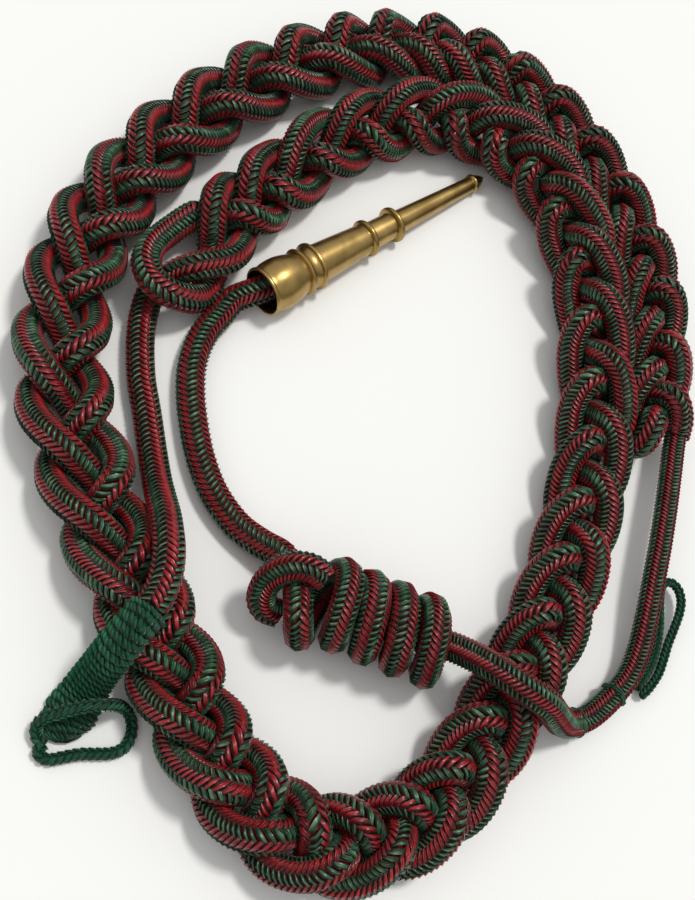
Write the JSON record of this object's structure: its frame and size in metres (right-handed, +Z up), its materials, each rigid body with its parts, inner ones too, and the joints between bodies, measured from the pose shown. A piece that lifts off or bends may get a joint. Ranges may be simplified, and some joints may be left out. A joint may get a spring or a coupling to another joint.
{
  "type": "fourragere",
  "caption": "Plaited shoulder cord lying in a loop, with a coil knot, a turned brass tip, and a button loop at each end.",
  "frame": {"origin": "on the surface it lies on, under the middle of the whole part's outline", "axes": "+Z up from the surface; +Y along the longer side of the loop, away from the coil knot; +X towards the plait's outer end"},
  "size_m": [0.181, 0.241, 0.0251],
  "materials": {
    "red_green_cord": "round braid of crimson and bottle-green rayon threads with a soft sheen",
    "green_thread": "worked bottle-green thread, matt",
    "brass": "turned and lacquered, satin, a little worn"
  },
  "bodies": {
    "root": {"plait_strand_1": "red_green_cord", "plait_strand_2": "red_green_cord", "plait_strand_3": "red_green_cord", "end_bight": "red_green_cord", "inner_hook": "red_green_cord", "sleeve_tail": "red_green_cord", "outer_tail": "red_green_cord", "joint_sleeve": "red_green_cord", "knot_cord": "red_green_cord", "coil_knot": "red_green_cord", "knot_bight": "red_green_cord", "ferret_cord": "red_green_cord", "ferret": "brass", "green_sleeve": "green_thread", "sleeve_button_loop": "green_thread", "joint_button_loop": "green_thread"}
  },
  "joints": []
}
